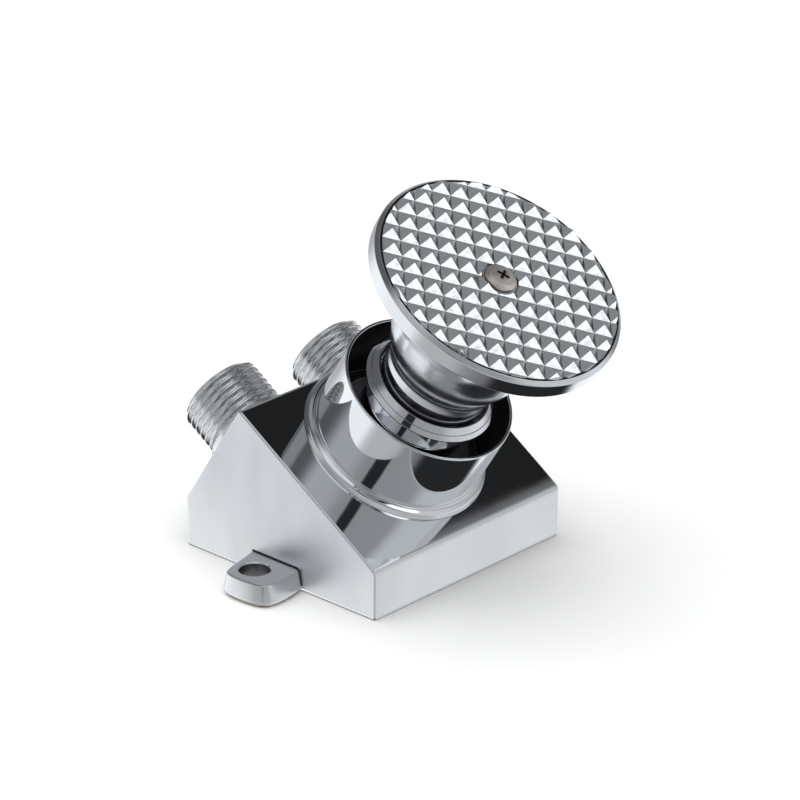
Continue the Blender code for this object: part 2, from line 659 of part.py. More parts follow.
def build_screw(steel, pedal):
    """Pan-head screw with a cross recess, and the flat washer under it."""
    profile = [
        (0.0, SCREW_HEAD_TOP),
        (1.6 * MM, SCREW_HEAD_TOP - 0.05 * MM),
        (3.0 * MM, SCREW_HEAD_TOP - 0.3 * MM),
        (3.7 * MM, SCREW_HEAD_TOP - 0.7 * MM),
        (SCREW_HEAD_RADIUS, SCREW_HEAD_BASE + 0.4 * MM),
        (SCREW_HEAD_RADIUS, SCREW_HEAD_BASE),
        (SCREW_RADIUS, SCREW_HEAD_BASE),
        (SCREW_RADIUS, SCREW_END),
        (0.0, SCREW_END),
    ]
    screw = turned("pedal_screw", profile, steel, pedal, SMALL_STEPS)
    for word, turn in (("long", 0.0), ("cross", math.pi / 2)):
        slot = box(
            (-RECESS_HALF_LENGTH, -RECESS_HALF_WIDTH, SCREW_HEAD_TOP - RECESS_DEPTH),
            (RECESS_HALF_LENGTH, RECESS_HALF_WIDTH, SCREW_HEAD_TOP + OVERRUN),
        )
        bmesh.ops.rotate(slot, cent=(0, 0, 0), matrix=Matrix.Rotation(turn, 3, "Z"), verts=slot.verts)
        combine(screw, "DIFFERENCE", f"screw_recess_{word}", slot, steel, pedal)
    washer = mm_profile((2.8, 59.7), (4.3, 59.7), (4.3, 59.1), (2.8, 59.1))
    turned("screw_washer", washer, steel, pedal, SMALL_STEPS)


def build_spring(steel, brass, valve, cap_axis):
    """Return spring on the bonnet's floor and the cap that it pushes up under the hub."""
    low = SPRING_FLOOR + GAP + SPRING_WIRE
    high = SPRING_TOP - GAP - SPRING_WIRE
    steps = SPRING_TURNS * SPRING_STEPS
    curve = bpy.data.curves.new("return_spring", "CURVE")
    curve.dimensions = "3D"
    curve.bevel_depth = SPRING_WIRE
    curve.bevel_resolution = 1
    curve.use_fill_caps = True
    spline = curve.splines.new("POLY")
    spline.points.add(steps)
    for i in range(steps + 1):
        angle = math.tau * SPRING_TURNS * i / steps
        height = low + (high - low) * i / steps
        point = (SPRING_RADIUS * math.cos(angle), SPRING_RADIUS * math.sin(angle), height, 1.0)
        spline.points[i].co = point
    curve.materials.append(steel)
    spring = bpy.data.objects.new("return_spring", curve)
    spring.parent = valve
    bpy.context.scene.collection.objects.link(spring)
    cap = [
        (SPINDLE_RADIUS + GAP, SPRING_TOP + CAP_THICKNESS),
        (CAP_RADIUS, SPRING_TOP + CAP_THICKNESS),
        (CAP_RADIUS, SPRING_TOP),
        (SPINDLE_RADIUS + GAP, SPRING_TOP),
    ]
    turned("spring_cap", cap, brass, cap_axis, SMALL_STEPS)


def build():
    """Builds every piece in its place."""
    clear_scene()
    chrome = material("chrome_plate", (0.82, 0.84, 0.86), 0.06, 1.0)
    thread_metal = material("plated_thread", (0.68, 0.70, 0.71), 0.28, 1.0)
    brass = material("machined_brass", (0.72, 0.55, 0.28), 0.3, 1.0)
    steel = material("stainless_steel", (0.55, 0.53, 0.50), 0.35, 1.0)
    rubber = material("black_rubber", (0.03, 0.03, 0.03), 0.7, 0.0)

    world = axis_empty("floor_frame", (0.0, 0.0, 0.0), 0.0)
    valve = axis_empty("valve_axis", AXIS_FOOT, SLOPE_ANGLE, world)
    cap_axis = axis_empty("spring_cap_slide", (0.0, 0.0, 0.0), 0.0, valve)
    pedal = axis_empty("pedal_axis", (0.0, 0.0, 0.0), 0.0, cap_axis)
    port_tilt = SLOPE_ANGLE - math.pi / 2
    port_axes = {
        "inlet": axis_empty("inlet_axis", REAR_CENTRE + Vector((-PORT_X, 0, 0)), port_tilt, world),
        "outlet": axis_empty("outlet_axis", REAR_CENTRE + Vector((PORT_X, 0, 0)), port_tilt, world),
    }

    build_body(chrome, world, valve, port_axes)
    build_nipples(thread_metal, rubber, port_axes)
    build_shroud(chrome, valve)
    build_bonnet(chrome, rubber, valve)
    build_gland(chrome, rubber, valve)
    build_seat(brass, valve)
    build_spring(steel, brass, valve, cap_axis)
    build_plate(chrome, pedal)
    build_hub(chrome, pedal)
    build_spindle(brass, steel, pedal)
    build_poppet(brass, rubber, pedal)
    build_screw(steel, pedal)


build()
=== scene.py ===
"""Looks of the foot pedal tap valve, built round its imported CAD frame."""

import json
import math

import bmesh
import bpy
from mathutils import Matrix, Vector


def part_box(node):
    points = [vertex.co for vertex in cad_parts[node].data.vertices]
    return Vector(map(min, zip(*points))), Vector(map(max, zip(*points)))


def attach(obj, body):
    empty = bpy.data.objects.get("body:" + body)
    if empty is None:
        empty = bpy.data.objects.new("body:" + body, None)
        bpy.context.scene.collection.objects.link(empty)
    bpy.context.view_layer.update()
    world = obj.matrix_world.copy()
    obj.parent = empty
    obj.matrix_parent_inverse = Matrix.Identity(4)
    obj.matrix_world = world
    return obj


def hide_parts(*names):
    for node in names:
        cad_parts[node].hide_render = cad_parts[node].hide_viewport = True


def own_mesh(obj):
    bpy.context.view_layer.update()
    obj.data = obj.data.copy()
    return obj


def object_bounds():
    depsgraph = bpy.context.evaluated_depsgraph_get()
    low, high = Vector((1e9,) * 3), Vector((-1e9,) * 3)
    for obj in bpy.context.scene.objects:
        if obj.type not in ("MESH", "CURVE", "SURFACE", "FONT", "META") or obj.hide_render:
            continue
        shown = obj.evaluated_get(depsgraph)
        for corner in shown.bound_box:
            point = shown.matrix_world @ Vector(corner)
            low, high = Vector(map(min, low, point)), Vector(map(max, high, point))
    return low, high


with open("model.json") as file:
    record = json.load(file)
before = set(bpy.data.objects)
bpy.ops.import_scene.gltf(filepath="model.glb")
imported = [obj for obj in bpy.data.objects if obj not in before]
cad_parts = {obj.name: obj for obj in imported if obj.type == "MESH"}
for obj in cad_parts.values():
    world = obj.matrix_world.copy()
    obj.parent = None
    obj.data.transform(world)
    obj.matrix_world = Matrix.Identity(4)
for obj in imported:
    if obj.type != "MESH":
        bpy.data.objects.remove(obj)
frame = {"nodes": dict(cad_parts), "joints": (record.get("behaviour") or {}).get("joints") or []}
cad_low, cad_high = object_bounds()

MM = 0.001

# Axes of the frame: the valve axis is the pedal's own, square to the casting's slope.
JOINTS = {joint["name"]: joint for joint in frame["joints"]}
AXIS_FOOT = Vector(JOINTS["pedal_spin"]["pos_m"])
AXIS = Vector(JOINTS["pedal_spin"]["axis"]).normalized()
RIGHT = Vector((1.0, 0.0, 0.0))
UPHILL = AXIS.cross(RIGHT)

# Casting.
BODY_HALF_WIDTH = 33.0 * MM
SLOPE_ROUND = 1.0 * MM
FRONT_ROUND = 2.0 * MM
WALL_ROUND = 0.6 * MM
FOOT_ROUND = 0.9 * MM
RIGHT_CORNER_ROUND = 1.6 * MM
LEFT_CORNER_ROUND = 0.5 * MM
REAR_CORNER_ROUND = 1.5 * MM
ROLL_OFF = 9.0
ROLL_DROP = 0.22
EAR_TOP = 5.5 * MM
EAR_HOLE_X = 40.0 * MM
EAR_HOLE_RADIUS = 3.75 * MM

# Painted shade line in the crease at an ear's root: where it starts and ends to fade, across and along.
ROOT_SHADE_REACH = (0.25 * MM, 0.55 * MM)
ROOT_SHADE_HALF_LENGTH = (7.4 * MM, 7.9 * MM)
ROOT_SHADE_COLOUR = (0.04, 0.04, 0.045, 1.0)

# G1/2 thread.
THREAD_MAJOR = 10.478 * MM
THREAD_PITCH = 1.814 * MM
THREAD_DEPTH = 1.162 * MM
COLLAR_END = 2.8 * MM
COLLAR_RADIUS = 11.2 * MM
NIPPLE_BORE = 7.3 * MM
SPIGOT_RADIUS = 9.0 * MM
SPIGOT_LENGTH = 6.7 * MM
ROWS_PER_PITCH = 14

# Tread.
PLATE_TOP = 59.7 * MM
TREAD_RADIUS = 29.6 * MM
TREAD_PITCH = 4.75 * MM
TREAD_BASE = 0.93
TREAD_FLOOR = 59.72 * MM
TREAD_TIP = 60.95 * MM
TREAD_TURN = math.radians(-37.75)
TREAD_SHIFT = (-0.8 * MM, -0.25 * MM)
SPOT_RADIUS = 4.7 * MM

# Cross recess of the screw: length, width and depth of each slot, and its turn about the axis.
RECESS_SIZE = (4.4 * MM, 0.95 * MM, 2.4 * MM)
RECESS_TURN = 0.5

# Return spring.
SPRING_WIRE = 0.85 * MM
SPRING_RADIUS = 9.1 * MM
SPRING_TURNS = 6

# Facets round a full turn.
FINE = 192
PLAIN = 96


def axis_matrix(origin, z_direction):
    """A placing matrix with its X to the valve's right and its Z along a direction."""
    y_direction = z_direction.cross(RIGHT)
    matrix = Matrix((RIGHT, y_direction, z_direction)).transposed().to_4x4()
    matrix.translation = origin
    return matrix


def reach(node, direction, origin=AXIS_FOOT):
    """How far a CAD node goes along a direction, from the origin: its lowest and highest value."""
    steps = [(vertex.co - origin).dot(direction) for vertex in frame["nodes"][node].data.vertices]
    return min(steps), max(steps)


VALVE = axis_matrix(AXIS_FOOT, AXIS)
REAR_FACE = reach("body", UPHILL)[1]
PORTS = {}
for port_name in ("inlet", "outlet"):
    nipple_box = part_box(port_name + "_nipple")
    centre_x = (nipple_box[0].x + nipple_box[1].x) / 2
    low_n, high_n = reach(port_name + "_nipple", AXIS)
    foot = AXIS_FOOT + RIGHT * centre_x + UPHILL * REAR_FACE + AXIS * (low_n + high_n) / 2
    PORTS[port_name] = axis_matrix(foot, UPHILL)
PORT_LENGTH = reach("inlet_nipple", UPHILL)[1] - REAR_FACE


# ---------------------------------------------------------------------------------- mesh tools


def finish_mesh(name, bm, matrix, body, materials, replaces, sharp=30.0):
    """Makes the piece, shades it and ties it to the frame."""
    bmesh.ops.recalc_face_normals(bm, faces=bm.faces)
    mesh = bpy.data.meshes.new(name)
    bm.to_mesh(mesh)
    bm.free()
    for mat in materials:
        mesh.materials.append(mat)
    mesh.shade_smooth()
    mesh.set_sharp_from_angle(angle=math.radians(sharp))
    obj = bpy.data.objects.new(name, mesh)
    bpy.context.scene.collection.objects.link(obj)
    obj.matrix_world = matrix
    weighted = obj.modifiers.new("weighted_normals", "WEIGHTED_NORMAL")
    weighted.keep_sharp = True
    weighted.weight = 100
    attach(obj, body)
    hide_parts(*replaces)
    return obj


def rounded(points, segments=6):
    """A closed outline in metres from (radius, height[, rounding]) in millimetres, its corners rounded."""
    count = len(points)
    outline = []
    for i, point in enumerate(points):
        here = Vector(point[:2])
        fillet = point[2] if len(point) > 2 else 0.0
        before = Vector(points[i - 1][:2])
        after = Vector(points[(i + 1) % count][:2])
        to_before = (before - here).normalized()
        to_after = (after - here).normalized()
        half = to_before.angle(to_after) / 2
        if fillet <= 0.0 or half > math.radians(88.0):
            outline.append(here)
            continue
        cut = fillet / math.tan(half)
        centre = here + (to_before + to_after).normalized() * (fillet / math.sin(half))
        start = here + to_before * cut - centre
        turn = start.angle_signed(here + to_after * cut - centre)
        for step in range(segments + 1):
            outline.append(centre + Matrix.Rotation(-turn * step / segments, 2) @ start)
    return [(max(0.0, p.x) * MM, p.y * MM) for p in outline]


def lathe(outline, steps):
    """Spins a closed (radius, height) outline about Z."""
    bm = bmesh.new()
    verts = [bm.verts.new((radius, 0.0, height)) for radius, height in outline]
    edges = []
    for first, second in zip(verts, verts[1:] + verts[:1]):
        if first.co.x > 0.0 or second.co.x > 0.0:
            edges.append(bm.edges.new((first, second)))
    bmesh.ops.spin(
        bm, geom=verts + edges, cent=(0, 0, 0), axis=(0, 0, 1), angle=math.tau, steps=steps, use_merge=True
    )
    bmesh.ops.remove_doubles(bm, verts=bm.verts, dist=1e-7)
    return bm


def turned(name, points, materials, body, matrix=VALVE, steps=PLAIN, replaces=None):
    """A turned piece that stands for the CAD node of the same name."""
    bm = lathe(rounded(points), steps)
    return finish_mesh(name + "_look", bm, matrix, body, materials, replaces or [name])


# ---------------------------------------------------------------------------------- materials


def principled(name, colour, roughness, metallic):
    """A Principled material with its node tools at hand."""
    mat = bpy.data.materials.new(name)
    mat.use_nodes = True
    nodes = mat.node_tree.nodes
    shader = nodes["Principled BSDF"]
    shader.inputs["Base Color"].default_value = (*colour, 1.0)
    shader.inputs["Roughness"].default_value = roughness
    shader.inputs["Metallic"].default_value = metallic
    return mat, nodes, mat.node_tree.links, shader


def noise(nodes, links, scale, detail=3.0, stretch=None):
    """A noise texture in object space, sized per metre, and stretched if asked."""
    coordinates = nodes.new("ShaderNodeTexCoord")
    texture = nodes.new("ShaderNodeTexNoise")
    texture.inputs["Scale"].default_value = scale
    texture.inputs["Detail"].default_value = detail
    source = coordinates.outputs["Object"]
    if stretch:
        mapping = nodes.new("ShaderNodeMapping")
        mapping.inputs["Scale"].default_value = stretch
        links.new(source, mapping.inputs["Vector"])
        source = mapping.outputs["Vector"]
    links.new(source, texture.inputs["Vector"])
    return texture


def spread(nodes, links, texture, low, high, start=0.35, end=0.65):
    """Maps a texture's middle range onto a range of values."""
    ranged = nodes.new("ShaderNodeMapRange")
    ranged.inputs["From Min"].default_value = start
    ranged.inputs["From Max"].default_value = end
    ranged.inputs["To Min"].default_value = low
    ranged.inputs["To Max"].default_value = high
    links.new(texture.outputs["Fac"], ranged.inputs["Value"])
    return ranged.outputs["Result"]


def bump(nodes, links, shader, layers):
    """Chains bump layers of (texture, strength, distance)."""
    previous = None
    for texture, strength, distance in layers:
        node = nodes.new("ShaderNodeBump")
        node.inputs["Strength"].default_value = strength
        node.inputs["Distance"].default_value = distance
        links.new(texture.outputs["Fac"], node.inputs["Height"])
        if previous:
            links.new(previous.outputs["Normal"], node.inputs["Normal"])
        previous = node
    links.new(previous.outputs["Normal"], shader.inputs["Normal"])


def chrome(name, colour=(0.80, 0.82, 0.85), smooth=0.02, worn=0.07, ripple=0.06, sag=0.0):
    """Polished chrome plate with faint ripple, smears and fine scratches, and sag in a cast wall.

    With sag, the plate's colour also carries painted reflection, wide lighter and darker patches, and a
    painted shade line at an ear's root.
    """
    mat, nodes, links, shader = principled(name, colour, smooth, 1.0)
    smears = noise(nodes, links, 55.0, 6.0, (1.0, 2.2, 0.8))
    links.new(spread(nodes, links, smears, smooth, worn), shader.inputs["Roughness"])
    waves = noise(nodes, links, 90.0, 1.0)
    grain = noise(nodes, links, 4200.0, 2.0, (1.0, 0.25, 1.0))
    layers = [(waves, ripple, 0.0006), (grain, 0.02, 0.00002)]
    if sag:
        broad_sag_and_sheen = noise(nodes, links, 17.0, 0.0)
        layers.append((broad_sag_and_sheen, 1.0, sag))
        # Painted reflection: the plate's colour goes lighter and darker in wide patches, from the same noise
        # as the sag.
        ramp = nodes.new("ShaderNodeValToRGB")
        ramp.color_ramp.elements[0].position = 0.38
        ramp.color_ramp.elements[0].color = (0.76, 0.785, 0.82, 1.0)
        ramp.color_ramp.elements[1].position = 0.60
        ramp.color_ramp.elements[1].color = (0.94, 0.95, 0.96, 1.0)
        links.new(broad_sag_and_sheen.outputs["Fac"], ramp.inputs["Fac"])
        paint_root_shade(nodes, links, shader, ramp.outputs["Color"])
    bump(nodes, links, shader, layers)
    return mat


def arithmetic(nodes, links, operation, first, second=None):
    """One step of arithmetic on a socket, with a socket or a number."""
    node = nodes.new("ShaderNodeMath")
    node.operation = operation
    links.new(first, node.inputs[0])
    if isinstance(second, float):
        node.inputs[1].default_value = second
    elif second is not None:
        links.new(second, node.inputs[1])
    return node.outputs["Value"]


def fade(nodes, links, value, start, end):
    """One up to the start, nothing from the end on."""
    ranged = nodes.new("ShaderNodeMapRange")
    ranged.inputs["From Min"].default_value = start
    ranged.inputs["From Max"].default_value = end
    ranged.inputs["To Min"].default_value = 1.0
    ranged.inputs["To Max"].default_value = 0.0
    links.new(value, ranged.inputs["Value"])
    return ranged.outputs["Result"]


def paint_root_shade(nodes, links, shader, colour):
    """Painted shade: a dark line painted in the crease where an ear's top meets the casting's wall, over the
    ear's length.
    """
    coordinates = nodes.new("ShaderNodeTexCoord")
    split = nodes.new("ShaderNodeSeparateXYZ")
    links.new(coordinates.outputs["Object"], split.inputs["Vector"])
    across = arithmetic(nodes, links, "ABSOLUTE", split.outputs["X"])
    across = arithmetic(nodes, links, "SUBTRACT", across, BODY_HALF_WIDTH)
    above = arithmetic(nodes, links, "SUBTRACT", split.outputs["Z"], EAR_TOP)
    squares = []
    for value in (across, above):
        size = arithmetic(nodes, links, "ABSOLUTE", value)
        squares.append(arithmetic(nodes, links, "POWER", size, 2.0))
    distance = arithmetic(nodes, links, "SQRT", arithmetic(nodes, links, "ADD", *squares))
    along = arithmetic(nodes, links, "ABSOLUTE", split.outputs["Y"])
    near = fade(nodes, links, distance, *ROOT_SHADE_REACH)
    beside = fade(nodes, links, along, *ROOT_SHADE_HALF_LENGTH)
    mix = nodes.new("ShaderNodeMix")
    mix.data_type = "RGBA"
    mix.inputs["B"].default_value = ROOT_SHADE_COLOUR
    links.new(arithmetic(nodes, links, "MULTIPLY", near, beside), mix.inputs["Factor"])
    links.new(colour, mix.inputs["A"])
    links.new(mix.outputs["Result"], shader.inputs["Base Color"])


def cast_chrome(name):
    """Plated casting skin of the tread: slightly orange-peeled and duller than the turned parts."""
    mat, nodes, links, shader = principled(name, (0.76, 0.78, 0.80), 0.14, 1.0)
    patches = noise(nodes, links, 700.0, 5.0)
    links.new(spread(nodes, links, patches, 0.08, 0.24), shader.inputs["Roughness"])
    peel = noise(nodes, links, 1500.0, 3.0)
    bump(nodes, links, shader, [(peel, 0.28, 0.00012)])
    return mat


def cut_thread(name):
    """Thinly plated cut thread: fine tool lines round the port and a mottled dull finish."""
    mat, nodes, links, shader = principled(name, (0.78, 0.79, 0.80), 0.18, 1.0)
    patches = noise(nodes, links, 300.0, 6.0)
    links.new(spread(nodes, links, patches, 0.10, 0.28), shader.inputs["Roughness"])
    lines = noise(nodes, links, 900.0, 2.0, (0.12, 0.12, 6.0))
    pits = noise(nodes, links, 2600.0, 3.0)
    bump(nodes, links, shader, [(lines, 0.35, 0.00006), (pits, 0.15, 0.00003)])
    return mat


def bore_metal(name, dark, light, roughness):
    """Dull metal inside a bore, mottled between a dark and a lighter colour, with tool streaks."""
    mat, nodes, links, shader = principled(name, dark, roughness, 1.0)
    stain = noise(nodes, links, 160.0, 6.0)
    ramp = nodes.new("ShaderNodeValToRGB")
    ramp.color_ramp.elements[0].position = 0.35
    ramp.color_ramp.elements[0].color = (*dark, 1.0)
    ramp.color_ramp.elements[1].position = 0.7
    ramp.color_ramp.elements[1].color = (*light, 1.0)
    links.new(stain.outputs["Fac"], ramp.inputs["Fac"])
    links.new(ramp.outputs["Color"], shader.inputs["Base Color"])
    links.new(spread(nodes, links, stain, roughness, roughness + 0.12), shader.inputs["Roughness"])
    streaks = noise(nodes, links, 1500.0, 2.0, (1.0, 1.0, 0.12))
    bump(nodes, links, shader, [(streaks, 0.3, 0.00006)])
    return mat


def brass(name):
    """Turned brass with tool lines and a little tarnish."""
    mat, nodes, links, shader = principled(name, (0.72, 0.55, 0.28), 0.3, 1.0)
    tarnish = noise(nodes, links, 130.0, 5.0)
    links.new(spread(nodes, links, tarnish, 0.2, 0.42), shader.inputs["Roughness"])
    ramp = nodes.new("ShaderNodeValToRGB")
    ramp.color_ramp.elements[0].position = 0.35
    ramp.color_ramp.elements[0].color = (0.50, 0.35, 0.17, 1.0)
    ramp.color_ramp.elements[1].position = 0.6
    ramp.color_ramp.elements[1].color = (0.74, 0.57, 0.30, 1.0)
    links.new(tarnish.outputs["Fac"], ramp.inputs["Fac"])
    links.new(ramp.outputs["Color"], shader.inputs["Base Color"])
    lines = noise(nodes, links, 1200.0, 2.0, (0.1, 0.1, 5.0))
    bump(nodes, links, shader, [(lines, 0.3, 0.00005)])
    return mat


def steel(name, colour=(0.52, 0.49, 0.46), smooth=0.2, worn=0.42):
    """Plain stainless steel of screws, washers, clip and spring."""
    mat, nodes, links, shader = principled(name, colour, smooth, 1.0)
    patches = noise(nodes, links, 420.0, 5.0)
    links.new(spread(nodes, links, patches, smooth, worn), shader.inputs["Roughness"])
    scuffs = noise(nodes, links, 1800.0, 3.0, (1.0, 0.4, 1.0))
    bump(nodes, links, shader, [(scuffs, 0.3, 0.00006)])
    return mat


def rubber(name):
    """Black moulded rubber."""
    mat, nodes, links, shader = principled(name, (0.018, 0.018, 0.019), 0.6, 0.0)
    bloom = noise(nodes, links, 260.0, 4.0)
    links.new(spread(nodes, links, bloom, 0.5, 0.75), shader.inputs["Roughness"])
    skin = noise(nodes, links, 2400.0, 3.0)
    bump(nodes, links, shader, [(skin, 0.25, 0.00004)])
    return mat


CHROME = chrome("polished_chrome", ripple=0.02)
# Cast wall chrome: its colour carries painted reflection patches and a painted shade line at each ear's
# root.
SATIN = chrome("satin_chrome", smooth=0.38, worn=0.46, ripple=0.05, sag=0.0022)
EAR = chrome("ear_chrome", smooth=0.22, worn=0.30, ripple=0.05)
HUB = chrome("buffed_chrome", smooth=0.14, worn=0.22, ripple=0.04)
ROLLED = chrome("rolled_chrome", ripple=0.09)
TREAD = cast_chrome("tread_chrome")
THREAD = cut_thread("plated_thread_metal")
BRASS = brass("turned_brass")
STEEL = steel("stainless")
SCREW_STEEL = steel("screw_steel", (0.80, 0.75, 0.71), 0.34, 0.5)
# Near-black purplish colour for the sleeve's inside, the crease at each ear's root and the screw's recess:
# painted shade and painted dark reflection.
BORE = bore_metal("painted_shade_bore", (0.100, 0.084, 0.092), (0.150, 0.128, 0.138), 0.42)
HOLE = bore_metal("drilled_hole", (0.16, 0.16, 0.165), (0.42, 0.42, 0.43), 0.30)
RUBBER = rubber("seal_rubber")


# The frame's own hidden pieces and their finishes.
CARRIED_OVER = {
    "inlet_oring": RUBBER,
    "outlet_oring": RUBBER,
    "bonnet_oring": RUBBER,
    "stem_oring_lower": RUBBER,
    "stem_oring_upper": RUBBER,
    "valve_washer": RUBBER,
    "valve_seat": BRASS,
    "spring_cap": BRASS,
    "spindle": BRASS,
    "washer_holder": BRASS,
    "holder_nut": BRASS,
    "retaining_clip": STEEL,
}


# ---------------------------------------------------------------------------------- casting


def wedge():
    """The casting's plain wedge, drawn from the frame's own slope."""
    low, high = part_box("body")
    slope_start = (low.y - AXIS_FOOT.y) / UPHILL.y
    front_top = AXIS_FOOT + UPHILL * slope_start
    ridge = AXIS_FOOT + UPHILL * REAR_FACE
    rear_top = ridge - AXIS * ((high.y - ridge.y) / -AXIS.y)
    rolled = []
    for step in range(1, 8):
        share = step / 7
        spot = front_top + UPHILL * ROLL_OFF * share * MM - AXIS * ROLL_DROP * (1.0 - share) ** 2 * MM
        rolled.append((spot.y, spot.z))
    side = [
        (low.y, 0.0),
        (low.y, front_top.z - ROLL_DROP * MM / AXIS.z),
        *rolled,
        (ridge.y, ridge.z),
        (high.y, rear_top.z),
        (high.y, 0.0),
    ]
    bm = bmesh.new()
    left = [bm.verts.new((-BODY_HALF_WIDTH, y, z)) for y, z in side]
    face = bm.faces.new(left)
    moved = bmesh.ops.extrude_face_region(bm, geom=[face])
    right = [item for item in moved["geom"] if isinstance(item, bmesh.types.BMVert)]
    bmesh.ops.translate(bm, verts=right, vec=(2 * BODY_HALF_WIDTH, 0.0, 0.0))
    bmesh.ops.recalc_face_normals(bm, faces=bm.faces)
    return bm


def ear_outline():
    """The left ear seen from above, from the wall's rear to its front, with curved root and end."""
    knots = [
        (28.0, 8.6), (33.0, 7.4), (38.6, 6.1), (43.6, 4.9), (45.6, 3.6), (46.4, 1.2),
        (46.5, -2.6), (46.0, -6.4), (45.0, -8.2), (42.8, -8.9), (39.4, -9.0), (35.6, -8.5),
        (33.0, -7.8), (28.0, -7.2),
    ]
    return [(-x * MM, y * MM) for x, y in knots]


def curved(knots, steps, corners=()):
    """Catmull-Rom curve through knots, which keeps the named knots sharp."""
    points = []
    for i in range(len(knots) - 1):
        p1, p2 = Vector(knots[i]), Vector(knots[i + 1])
        p0 = Vector(knots[i - 1]) if i > 0 and i not in corners else p1 * 2 - p2
        p3 = Vector(knots[i + 2]) if i + 2 < len(knots) and i + 1 not in corners else p2 * 2 - p1
        for step in range(steps):
            t = step / steps
            points.append(
                0.5 * (2 * p1 + (p2 - p0) * t + (2 * p0 - 5 * p1 + 4 * p2 - p3) * t * t
                       + (3 * p1 - p0 - 3 * p2 + p3) * t ** 3)
            )
    points.append(Vector(knots[-1]))
    return points


def ear_mesh(side):
    """One ear: drafted sides, a rounded top edge and an undercut foot."""
    outline = curved(ear_outline(), 5)
    if side > 0:
        outline = [Vector((-p.x, p.y)) for p in outline]
    levels = [
        (0.0, -0.3), (0.45, 0.1), (0.9, 0.7), (1.5, 0.8),
        (EAR_TOP / MM - 0.4, 0.06), (EAR_TOP / MM - 0.25, 0.0),
        (EAR_TOP / MM - 0.1, -0.12), (EAR_TOP / MM, -0.35),
    ]
    bm = bmesh.new()
    rings = []
    centre = Vector((side * 33.0 * MM, 0.0))
    for level, grow in levels:
        ring = []
        for i, point in enumerate(outline):
            before = outline[max(i - 1, 0)]
            after = outline[min(i + 1, len(outline) - 1)]
            along = (after - before).normalized()
            outward = Vector((along.y, -along.x))
            if outward.dot(point - centre) < 0.0:
                outward = -outward
            spot = point + outward * grow * MM
            ring.append(bm.verts.new((spot.x, spot.y, level * MM)))
        rings.append(ring)
    for lower, upper in zip(rings, rings[1:]):
        for i in range(len(lower) - 1):
            bm.faces.new((lower[i], lower[i + 1], upper[i + 1], upper[i]))
        bm.faces.new((lower[-1], lower[0], upper[0], upper[-1]))
    bm.faces.new(rings[0][::-1])
    bm.faces.new(rings[-1])
    bmesh.ops.recalc_face_normals(bm, faces=bm.faces)
    return bm


def cutter_object(name, bm, matrix):
    """A hidden shape for a Boolean."""
    bmesh.ops.recalc_face_normals(bm, faces=bm.faces)
    mesh = bpy.data.meshes.new(name)
    bm.to_mesh(mesh)
    bm.free()
    obj = bpy.data.objects.new(name, mesh)
    bpy.context.scene.collection.objects.link(obj)
    obj.matrix_world = matrix
    return obj


def evaluated(obj):
    """A new bmesh of an object with its modifiers applied, and the object and its mesh removed."""
    graph = bpy.context.evaluated_depsgraph_get()
    mesh = bpy.data.meshes.new_from_object(obj.evaluated_get(graph))
    bm = bmesh.new()
    bm.from_mesh(mesh)
    bpy.data.meshes.remove(mesh)
    old = obj.data
    bpy.data.objects.remove(obj, do_unlink=True)
    bpy.data.meshes.remove(old)
    return bm


def combined(bm, cuts):
    """Applies (operation, bmesh, matrix) Booleans to a bmesh."""
    base = cutter_object("casting_base", bm, Matrix.Identity(4))
    cutters = []
    for index, (operation, shape, matrix) in enumerate(cuts):
        cutter = cutter_object(f"casting_cut_{index}", shape, matrix)
        modifier = base.modifiers.new(f"cut_{index}", "BOOLEAN")
        modifier.operation = operation
        modifier.solver = "EXACT"
        modifier.object = cutter
        cutters.append(cutter)
    bpy.context.view_layer.update()
    result = evaluated(base)
    for cutter in cutters:
        old = cutter.data
        bpy.data.objects.remove(cutter, do_unlink=True)
        bpy.data.meshes.remove(old)
    return result


def soften(bm, chosen, offset, segments):
    """Rounds the edges that a test picks."""
    edges = [edge for edge in bm.edges if len(edge.link_faces) == 2 and chosen(edge)]
    bmesh.ops.bevel(
        bm, geom=edges, offset=offset, segments=segments, profile=0.5, affect="EDGES", clamp_overlap=True,
        harden_normals=False,
    )


